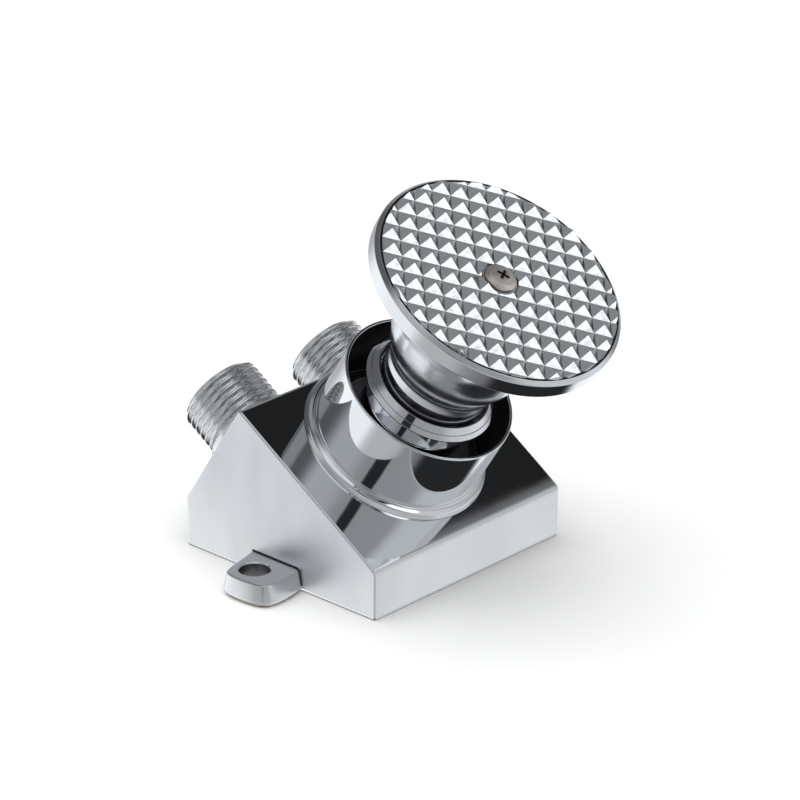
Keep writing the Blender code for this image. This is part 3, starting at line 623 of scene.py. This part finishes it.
def build_body():
    """Casting with its ears, its screw holes and the mouths of its port bores.

    The valve chamber and the bonnet's bore aren't cut, so the hidden pieces stand in solid casting.
    """
    bm = wedge()
    low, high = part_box("body")
    near = 1e-6
    crease = math.radians(10.0)

    def along_front(edge):
        a, b = (vert.co for vert in edge.verts)
        return min(a.z, b.z) > near and max(abs(a.y - low.y), abs(b.y - low.y)) < near

    def base_edge(edge):
        a, b = (vert.co for vert in edge.verts)
        return max(a.z, b.z) < near

    def corner(edge):
        a, b = (vert.co for vert in edge.verts)
        if abs(a.y - b.y) > near or abs(a.x - b.x) > near:
            return WALL_ROUND
        if abs(a.y - high.y) < near:
            return REAR_CORNER_ROUND
        return RIGHT_CORNER_ROUND if a.x > 0.0 else LEFT_CORNER_ROUND

    weight = bm.edges.layers.float.new("bevel_weight_edge")
    for edge in bm.edges:
        a, b = (vert.co for vert in edge.verts)
        if edge.calc_face_angle() < crease:
            edge[weight] = 0.0
        elif along_front(edge):
            edge[weight] = SLOPE_ROUND / FRONT_ROUND
        elif base_edge(edge):
            edge[weight] = FOOT_ROUND / FRONT_ROUND
        elif abs(a.x - b.x) > near:
            edge[weight] = SLOPE_ROUND / FRONT_ROUND
        else:
            edge[weight] = corner(edge) / FRONT_ROUND
    plain = cutter_object("casting_plain", bm, Matrix.Identity(4))
    bevel = plain.modifiers.new("rounding", "BEVEL")
    bevel.limit_method = "WEIGHT"
    bevel.width = FRONT_ROUND
    bevel.segments = 6
    bpy.context.view_layer.update()
    bm = evaluated(plain)
    cuts = []
    for side in (-1, 1):
        cuts.append(("UNION", ear_mesh(side), Matrix.Identity(4)))
    for side in (-1, 1):
        hole = lathe(
            [(0.0, 8 * MM), (EAR_HOLE_RADIUS + 0.3 * MM, 8 * MM), (EAR_HOLE_RADIUS + 0.3 * MM, EAR_TOP),
             (EAR_HOLE_RADIUS, EAR_TOP - 0.35 * MM), (EAR_HOLE_RADIUS, -1 * MM), (0.0, -1 * MM)], PLAIN
        )
        cuts.append(("DIFFERENCE", hole, Matrix.Translation((side * EAR_HOLE_X, 0.0, 0.0))))
    for word in PORTS:
        bore = lathe([(0.0, 2 * MM), (9.3 * MM, 2 * MM), (9.3 * MM, -7 * MM), (0.0, -7 * MM)], PLAIN)
        cuts.append(("DIFFERENCE", bore, PORTS[word]))
    bm = combined(bm, cuts)
    bmesh.ops.remove_doubles(bm, verts=bm.verts, dist=1e-6)

    wall = BODY_HALF_WIDTH

    def root(edge):
        a, b = (vert.co for vert in edge.verts)
        on_wall = abs(abs(a.x) - wall) < 2e-5 and abs(abs(b.x) - wall) < 2e-5
        along_top = abs(a.z - EAR_TOP) < 2e-5 and abs(b.z - EAR_TOP) < 2e-5
        return on_wall and along_top

    def in_root(middle, normal):
        return abs(middle.y) < 9.0 * MM and 0.15 < normal.z < 0.97 and middle.z < EAR_TOP + 0.6 * MM

    soften(bm, root, 0.5 * MM, 4)
    finishes = [CHROME, BRASS, SATIN, HOLE, BORE, EAR]
    for face in bm.faces:
        middle = face.calc_center_median()
        on_ear = abs(middle.x) > BODY_HALF_WIDTH + 0.1 * MM
        from_hole = math.hypot(abs(middle.x) - EAR_HOLE_X, middle.y)
        if face.normal.z < -0.9 and middle.z < 0.2 * MM or on_ear and middle.z < 0.55 * MM:
            finish = BRASS
        elif from_hole < EAR_HOLE_RADIUS + 0.1 * MM and abs(face.normal.z) < 0.3:
            finish = HOLE
        # Faces of the rounded crease at an ear's root take the dark bore colour: painted shade.
        elif abs(abs(middle.x) - BODY_HALF_WIDTH) < 0.6 * MM and in_root(middle, face.normal):
            finish = BORE
        elif face.normal.dot(AXIS) > 0.9 and middle.z > EAR_TOP + 1.0 * MM:
            finish = CHROME
        elif middle.z < FOOT_ROUND and not on_ear:
            finish = CHROME
        elif on_ear and abs(middle.x) > BODY_HALF_WIDTH + 0.7 * MM:
            finish = EAR
        else:
            finish = SATIN
        face.material_index = finishes.index(finish)
    return finish_mesh(
        "body_look", bm, Matrix.Identity(4), "valve_body", finishes, ["body"], 35.0
    )


# ---------------------------------------------------------------------------------- turned pieces


def build_shroud():
    """Thin sleeve with a half-round bead at its foot."""
    points = [
        (20.8, 20.1, 0.2),
        (21.55, 20.1, 0.25),
        (21.55, 1.8, 0.25),
        (22.2, 1.75, 0.5),
        (23.1, 1.3, 0.8),
        (23.55, 0.05, 0.0),
        (13.6, 0.05, 0.0),
        (13.6, 1.9, 0.0),
        (20.8, 1.9, 0.3),
    ]
    bm = lathe(rounded(points), FINE)
    for face in bm.faces:
        middle = face.calc_center_median()
        # The sleeve's inside takes the dark bore colour: painted shade and painted dark reflection.
        inside = math.hypot(middle.x, middle.y) < 20.85 * MM and 1.5 * MM < middle.z < 19.9 * MM
        face.material_index = 1 if inside else 0
    return finish_mesh("shroud_look", bm, VALVE, "valve_body", [ROLLED, BORE], ["shroud"])


def build_bonnet():
    """Bonnet's barrel and mouth."""
    points = [
        (15.5, 21.5, 0.0),
        (15.6, 21.5, 0.05),
        (16.5, 20.5, 0.3),
        (13.3, 13.5, 0.8),
        (13.3, 4.3, 0.2),
        (17.4, 4.3, 0.5),
        (17.4, 2.2, 0.3),
        (13.0, 2.2, 0.0),
        (13.0, -5.7, 0.6),
        (8.0, -5.7, 0.0),
        (8.0, -1.7, 0.0),
        (5.15, -1.7, 0.0),
        (5.15, 6.5, 0.0),
        (11.3, 6.5, 0.3),
        (11.3, 15.7, 0.2),
        (13.6, 15.7, 0.0),
        (13.6, 18.0, 0.0),
        (14.7, 18.0, 0.0),
        (14.7, 20.2, 0.0),
        (15.5, 20.2, 0.0),
    ]
    bm = lathe(rounded(points), FINE)
    for face in bm.faces:
        middle = face.calc_center_median()
        on_flange = math.hypot(middle.x, middle.y) > 16.9 * MM and middle.z < 4.5 * MM
        face.material_index = 1 if on_flange else 0
    finish_mesh("bonnet_look", bm, VALVE, "valve_body", [CHROME, SCREW_STEEL], ["bonnet"])
    gland = [
        (14.15, 22.9, 0.08),
        (14.35, 22.9, 0.1),
        (15.45, 21.67, 0.05),
        (15.4, 20.5, 0.0),
        (14.4, 20.5, 0.0),
        (14.4, 18.3, 0.0),
        (13.8, 18.3, 0.0),
        (13.8, 20.7, 0.0),
        (14.15, 20.7, 0.0),
    ]
    turned("gland_ring", gland, [CHROME], "valve_body", steps=FINE)
    seal = [
        (13.65, 22.8, 0.1),
        (14.1, 22.7, 0.15),
        (14.1, 21.0, 0.1),
        (13.55, 21.0, 0.1),
        (13.55, 22.0, 0.1),
        (13.7, 22.5, 0.1),
    ]
    turned("dust_seal", seal, [RUBBER], "valve_body", steps=FINE)


def build_hub():
    """Trumpet-shaped hub over its sliding skirt."""
    flare = curved(
        [
            (25.0, 54.4), (22.8, 52.0), (20.8, 48.4), (19.4, 45.4), (18.5, 42.8), (17.9, 40.2), (17.3, 37.6),
            (16.5, 35.1), (15.55, 32.7), (14.55, 30.8), (13.8, 29.6), (13.4, 28.8), (13.3, 27.8),
            (13.45, 26.4),
        ],
        6,
    )
    inside = rounded([
        (13.5, 26.1, 0.0),
        (13.45, 25.8, 0.1),
        (13.3, 25.6, 0.0),
        (13.3, 22.0, 0.4),
        (10.8, 22.0, 0.3),
        (10.8, 33.5, 0.3),
        (5.3, 33.5, 0.0),
        (5.3, 48.3, 0.0),
        (2.8, 48.3, 0.0),
        (2.8, 55.05, 0.0),
        (25.0, 55.05, 0.0),
    ])
    bm = lathe([(radius * MM, height * MM) for radius, height in flare] + inside, FINE)
    return finish_mesh("pedal_hub_look", bm, VALVE, "pedal", [HUB], ["pedal_hub"])


def build_plate():
    """Pedal plate: a turned disc, with a rim round the tread that build_tread makes."""
    points = [
        (4.7, 59.5, 0.0),
        (29.4, 59.5, 0.0),
        (29.5, 59.95, 0.05),
        (30.2, 59.95, 0.3),
        (31.1, 59.1, 0.5),
        (31.1, 55.1, 0.5),
        (2.8, 55.1, 0.0),
        (2.8, 58.8, 0.0),
        (4.7, 58.8, 0.0),
    ]
    bm = lathe(rounded(points), FINE)
    return finish_mesh(
        "pedal_plate_look", bm, VALVE, "pedal", [CHROME], ["pedal_plate"]
    )


def build_tread():
    """Field of square pyramids with grooves between them, trimmed round by the rim."""
    cells = math.ceil(TREAD_RADIUS / TREAD_PITCH) + 1
    half_groove = (1.0 - TREAD_BASE) / 2
    sizes = [(0.0, TREAD_FLOOR), (half_groove, TREAD_FLOOR + 0.1 * MM), (0.5, TREAD_TIP)]
    bm = bmesh.new()
    for row in range(-cells, cells):
        for column in range(-cells, cells):
            centre = Vector(((column + 0.5) * TREAD_PITCH, (row + 0.5) * TREAD_PITCH, 0.0))
            rings = []
            for inset, level in sizes[:-1]:
                half = (0.5 - inset) * TREAD_PITCH
                corners = [(-half, -half), (half, -half), (half, half), (-half, half)]
                rings.append([bm.verts.new(centre + Vector((x, y, level))) for x, y in corners])
            top = bm.verts.new(centre + Vector((0.0, 0.0, TREAD_TIP)))
            for i in range(4):
                k = (i + 1) % 4
                bm.faces.new((rings[0][i], rings[0][k], rings[1][k], rings[1][i]))
                bm.faces.new((rings[1][i], rings[1][k], top))
    bmesh.ops.remove_doubles(bm, verts=bm.verts, dist=1e-6)
    bmesh.ops.translate(bm, verts=bm.verts, vec=(*TREAD_SHIFT, 0.0))
    trim_to_disc(bm, TREAD_RADIUS, PLAIN)
    close_below(bm, PLATE_TOP - 1.0 * MM)
    turn = Matrix.Rotation(TREAD_TURN, 3, "Z")
    bmesh.ops.rotate(bm, cent=(0, 0, 0), matrix=turn, verts=bm.verts)
    spot = lathe([(0.0, 70 * MM), (SPOT_RADIUS, 70 * MM), (SPOT_RADIUS, 58.8 * MM), (0.0, 58.8 * MM)], PLAIN)
    bm = combined(bm, [("DIFFERENCE", spot, Matrix.Identity(4))])
    tread = finish_mesh(
        "pedal_tread", bm, VALVE, "pedal", [TREAD], ["pedal_plate"], sharp=5.0
    )
    tread.modifiers.clear()
    bevel = tread.modifiers.new("worn_edges", "BEVEL")
    bevel.width = 0.08 * MM
    bevel.segments = 2
    bevel.limit_method = "ANGLE"
    bevel.angle_limit = math.radians(12.0)
    return tread


def trim_to_disc(bm, radius, sides):
    """Cuts an open surface back to a many-sided disc about Z."""
    inner = radius * math.cos(math.pi / sides)
    for i in range(sides):
        angle = math.tau * (i + 0.5) / sides
        outward = Vector((math.cos(angle), math.sin(angle), 0.0))
        bmesh.ops.bisect_plane(
            bm,
            geom=bm.verts[:] + bm.edges[:] + bm.faces[:],
            dist=1e-7,
            plane_co=outward * inner,
            plane_no=outward,
            clear_outer=True,
        )
    bmesh.ops.remove_doubles(bm, verts=bm.verts, dist=5e-6)


def close_below(bm, floor):
    """Drops the surface's open edge to a flat floor and closes it."""
    rim = [edge for edge in bm.edges if edge.is_boundary]
    grown = bmesh.ops.extrude_edge_only(bm, edges=rim)["geom"]
    lower = {item for item in grown if isinstance(item, bmesh.types.BMVert)}
    for vert in lower:
        vert.co.z = floor
    low_edges = [
        item
        for item in grown
        if isinstance(item, bmesh.types.BMEdge) and all(vert in lower for vert in item.verts)
    ]
    bmesh.ops.contextual_create(bm, geom=low_edges)


def thread_radius(along, turn):
    """Radius of the G1/2 thread at a place along the port and a share of a turn round it."""
    phase = (along / THREAD_PITCH - turn) % 1.0
    wave = abs(2.0 * phase - 1.0)
    flank = min(1.0, max(0.0, (wave - 0.17) / 0.66))
    crest = flank * flank * (3.0 - 2.0 * flank)
    return THREAD_MAJOR - THREAD_DEPTH * (1.0 - crest)


def build_nipple(word):
    """A port nipple with a helical thread, a lead-in chamfer and a plain collar."""
    matrix = PORTS[word]
    start, end = COLLAR_END + 0.4 * MM, PORT_LENGTH
    rows = round((end - start) / THREAD_PITCH * ROWS_PER_PITCH)
    bm = bmesh.new()
    root = THREAD_MAJOR - THREAD_DEPTH
    fixed_low = [
        (NIPPLE_BORE, -SPIGOT_LENGTH),
        (SPIGOT_RADIUS, -SPIGOT_LENGTH),
        (SPIGOT_RADIUS, 0.0),
        (COLLAR_RADIUS, 0.05 * MM),
        (COLLAR_RADIUS, COLLAR_END - 0.25 * MM),
        (COLLAR_RADIUS - 0.07 * MM, COLLAR_END - 0.07 * MM),
        (COLLAR_RADIUS - 0.25 * MM, COLLAR_END),
        (root + 0.2 * MM, COLLAR_END),
        (root, COLLAR_END + 0.2 * MM),
    ]
    bore_end = [
        (root - 0.75 * MM, end),
        (7.55 * MM, end),
        (7.38 * MM, end - 0.07 * MM),
        (NIPPLE_BORE, end - 0.25 * MM),
    ]
    grid = []
    for i in range(PLAIN * 2):
        turn = i / (PLAIN * 2)
        column = list(fixed_low)
        for row in range(rows + 1):
            along = start + (end - start) * row / rows
            lead_in = root - 0.5 * MM + (end - along) * 1.3
            run_out = root + max(0.0, along - start) * 1.6
            column.append((min(thread_radius(along, turn), lead_in, max(run_out, root)), along))
        column += bore_end
        angle = math.tau * turn
        grid.append([bm.verts.new((r * math.cos(angle), r * math.sin(angle), z)) for r, z in column])
    for i, column in enumerate(grid):
        following = grid[(i + 1) % len(grid)]
        for j in range(len(column)):
            k = (j + 1) % len(column)
            bm.faces.new((column[j], following[j], following[k], column[k]))
    piece = finish_mesh(
        word + "_nipple_look", bm, matrix, "valve_body", [THREAD], [word + "_nipple"], 40.0
    )
    piece.modifiers.clear()
    return piece


def build_screw():
    """Pan-head screw with its cross recess, and the washer under it."""
    points = [
        (0.0, 61.65, 0.0),
        (1.6, 61.6, 1.0),
        (3.1, 61.3, 1.0),
        (3.9, 60.6, 0.6),
        (4.0, 60.0, 0.1),
        (2.5, 60.0, 0.0),
        (2.5, 43.0, 0.3),
        (0.0, 43.0, 0.0),
    ]
    cuts = []
    for turn in (0.0, math.pi / 2):
        slot = bmesh.new()
        bmesh.ops.create_cube(slot, size=1.0, matrix=Matrix.Diagonal((*RECESS_SIZE, 1.0)))
        for vert in slot.verts:
            if vert.co.z < 0.0:
                vert.co.x *= 0.45
                vert.co.y *= 0.6
        place = Matrix.Translation((0.0, 0.0, 61.6 * MM)) @ Matrix.Rotation(turn + RECESS_TURN, 4, "Z")
        cuts.append(("DIFFERENCE", slot, place))
    bm = combined(lathe(rounded(points), PLAIN), cuts)
    for face in bm.faces:
        middle = face.calc_center_median()
        central = math.hypot(middle.x, middle.y) < 2.35 * MM and middle.z > 60.2 * MM
        # The recess's walls and floor take the dark bore colour: painted shade.
        face.material_index = 1 if central and (face.normal.z < 0.8 or middle.z < 61.0 * MM) else 0
    screw = finish_mesh(
        "pedal_screw_look", bm, VALVE, "pedal", [SCREW_STEEL, BORE], ["pedal_screw"], 40.0
    )
    screw.modifiers.clear()
    washer = [(2.8, 59.75, 0.1), (4.35, 59.75, 0.12), (4.35, 59.1, 0.1), (2.8, 59.1, 0.1)]
    turned("screw_washer", washer, [SCREW_STEEL], "pedal")


def build_spring():
    """Coiled return spring, as long as the frame's own spring."""
    low, high = reach("return_spring", AXIS)
    start, end = low + SPRING_WIRE, high - SPRING_WIRE
    steps, sides = SPRING_TURNS * 40, 10
    bm = bmesh.new()
    rings = []
    for i in range(steps + 1):
        angle = math.tau * SPRING_TURNS * i / steps
        outward = Vector((math.cos(angle), math.sin(angle), 0.0))
        centre = outward * SPRING_RADIUS + Vector((0.0, 0.0, start + (end - start) * i / steps))
        ring = []
        for k in range(sides):
            turn = math.tau * k / sides
            away = outward * math.cos(turn) + Vector((0.0, 0.0, 1.0)) * math.sin(turn)
            ring.append(bm.verts.new(centre + away * SPRING_WIRE))
        rings.append(ring)
    for lower, upper in zip(rings, rings[1:]):
        for k in range(sides):
            m = (k + 1) % sides
            bm.faces.new((lower[k], lower[m], upper[m], upper[k]))
    bm.faces.new(rings[0][::-1])
    bm.faces.new(rings[-1])
    spring = finish_mesh(
        "return_spring_look", bm, VALVE, "valve_body", [STEEL], ["return_spring"], 50.0
    )
    spring.modifiers.clear()
    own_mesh(spring)


def finish_hidden():
    """Puts the procedural finishes on the frame's own pieces, which stay as they are."""
    for node, finish in CARRIED_OVER.items():
        materials = frame["nodes"][node].data.materials
        materials.clear()
        materials.append(finish)


# ---------------------------------------------------------------------------------- studio


def towards(azimuth, elevation):
    """Unit vector at an azimuth from the front (-Y) towards the right (+X), and an elevation, in degrees."""
    turn, rise = math.radians(azimuth), math.radians(elevation)
    return Vector((math.sin(turn) * math.cos(rise), -math.cos(turn) * math.cos(rise), math.sin(rise)))


# What the polished metal reflects: (azimuth, elevation, inner and outer radius in degrees, brightness).
STUDIO_PANELS = [
    (-155, -24, 22, 48, 1.02),
    (-168, -22, 8, 22, 1.15),
    (-115, -45, 8, 22, 0.52),
    (45, -16, 16, 34, 0.80),
    (112, -38, 12, 26, 1.10),
    (75, -82, 25, 33, 0.022),
    (-95, 45, 14, 34, 0.50),
    (25, 12, 14, 34, 0.66),
    (60, 30, 8, 20, 0.56),
    (-42, 74, 12, 28, 0.78),
    (-178, 52, 26, 48, 0.12),
    (112, 58, 18, 30, 0.15),
    (142, 72, 8, 16, 0.30),
    (-135, 20, 12, 25, 0.62),
    (90, 2, 10, 20, 0.26),
    (-55, 4, 6, 16, 0.20),
    (87, 47.5, 7.5, 9.5, 0.016),
    (13, 38, 7, 11, 1.45),
    (-49, 22, 5.5, 7.5, 0.025),
]
STUDIO_TINT = (0.965, 0.985, 1.0)

# Camera, in degrees, metres and millimetres of lens.
CAMERA_AZIMUTH = -47.7
CAMERA_ELEVATION = 23.35
CAMERA_ROLL = 0.46
CAMERA_DISTANCE = 1.0592
CAMERA_TARGET = Vector((0.0191, 0.008, 0.0279))
CAMERA_LENS = 195.74


def studio_world():
    """Panels of a light tent for reflections, round a dark stand, and a white surround for the camera."""
    world = bpy.data.worlds.new("studio")
    bpy.context.scene.world = world
    world.use_nodes = True
    nodes, links = world.node_tree.nodes, world.node_tree.links
    background = nodes["Background"]
    coordinates = nodes.new("ShaderNodeTexCoord")
    split = nodes.new("ShaderNodeSeparateXYZ")
    links.new(coordinates.outputs["Generated"], split.inputs["Vector"])
    height = nodes.new("ShaderNodeMapRange")
    height.inputs["From Min"].default_value = -1.0
    links.new(split.outputs["Z"], height.inputs["Value"])
    ramp = nodes.new("ShaderNodeValToRGB")
    stops = [(0.0, 0.03), (0.12, 0.40), (0.3, 0.58), (0.45, 0.42), (0.6, 0.36), (0.8, 0.32), (1.0, 0.30)]
    elements = ramp.color_ramp.elements
    elements[0].position, elements[1].position = stops[0][0], stops[-1][0]
    elements[0].color = (stops[0][1],) * 3 + (1.0,)
    elements[1].color = (stops[-1][1],) * 3 + (1.0,)
    for position, value in stops[1:-1]:
        elements.new(position).color = (value,) * 3 + (1.0,)
    links.new(height.outputs["Result"], ramp.inputs["Fac"])
    light = ramp.outputs["Color"]
    for azimuth, elevation, inner, outer, brightness in STUDIO_PANELS:
        facing = nodes.new("ShaderNodeVectorMath")
        facing.operation = "DOT_PRODUCT"
        links.new(coordinates.outputs["Generated"], facing.inputs[0])
        facing.inputs[1].default_value = towards(azimuth, elevation)
        edge = nodes.new("ShaderNodeMapRange")
        edge.interpolation_type = "SMOOTHSTEP"
        edge.inputs["From Min"].default_value = math.cos(math.radians(outer))
        edge.inputs["From Max"].default_value = math.cos(math.radians(inner))
        links.new(facing.outputs["Value"], edge.inputs["Value"])
        mix = nodes.new("ShaderNodeMix")
        mix.data_type = "RGBA"
        mix.inputs["B"].default_value = tuple(brightness * tint for tint in STUDIO_TINT) + (1.0,)
        links.new(edge.outputs["Result"], mix.inputs["Factor"])
        links.new(light, mix.inputs["A"])
        light = mix.outputs["Result"]
    path = nodes.new("ShaderNodeLightPath")
    surround = nodes.new("ShaderNodeMix")
    surround.data_type = "RGBA"
    surround.inputs["B"].default_value = (1.0, 1.0, 1.0, 1.0)
    links.new(path.outputs["Is Camera Ray"], surround.inputs["Factor"])
    links.new(light, surround.inputs["A"])
    links.new(surround.outputs["Result"], background.inputs["Color"])


def area_light(name, direction, distance, size, power, glossy, target=Vector((0.0, 0.0, 0.03))):
    """A square softbox aimed at the object."""
    light = bpy.data.lights.new(name, "AREA")
    light.shape = "RECTANGLE"
    light.size, light.size_y = size
    light.energy = power
    obj = bpy.data.objects.new(name, light)
    bpy.context.scene.collection.objects.link(obj)
    aim = Vector(direction).normalized()
    obj.location = target + aim * distance
    obj.rotation_mode = "QUATERNION"
    obj.rotation_quaternion = aim.to_track_quat("Z", "Y")
    obj.visible_glossy = glossy
    obj.visible_camera = False
    return obj


def build_studio():
    """Pale floor and soft lights."""
    bm = bmesh.new()
    bmesh.ops.create_grid(bm, x_segments=1, y_segments=1, size=6.0)
    mesh = bpy.data.meshes.new("floor")
    bm.to_mesh(mesh)
    bm.free()
    mat, _, _, shader = principled("pale_floor", (0.9, 0.9, 0.9), 0.9, 0.0)
    shader.inputs["Specular IOR Level"].default_value = 0.0
    mesh.materials.append(mat)
    floor = bpy.data.objects.new("floor", mesh)
    floor.location.z = cad_low.z
    bpy.context.scene.collection.objects.link(floor)
    floor.visible_glossy = False
    studio_world()
    area_light("overhead", (-0.1, 0.1, 1.0), 1.6, (2.4, 2.4), 40.0, False)


def build_camera():
    """Long lens from the front left."""
    back = towards(CAMERA_AZIMUTH, CAMERA_ELEVATION)
    roll = math.radians(CAMERA_ROLL)
    camera_data = bpy.data.cameras.new("camera")
    camera_data.lens = CAMERA_LENS
    camera_data.sensor_width = 36.0
    camera = bpy.data.objects.new("camera", camera_data)
    bpy.context.scene.collection.objects.link(camera)
    camera.location = CAMERA_TARGET + back * CAMERA_DISTANCE
    facing = back.to_track_quat("Z", "Y").to_matrix().to_4x4()
    camera.matrix_world = Matrix.Translation(camera.location) @ facing @ Matrix.Rotation(roll, 4, "Z")
    bpy.context.scene.camera = camera


def main():
    """Builds the whole look."""
    bpy.context.scene.view_settings.view_transform = "Standard"
    build_camera()
    build_studio()
    build_body()
    build_shroud()
    build_bonnet()
    build_hub()
    build_plate()
    build_tread()
    build_nipple("inlet")
    build_nipple("outlet")
    build_screw()
    build_spring()
    finish_hidden()


main()
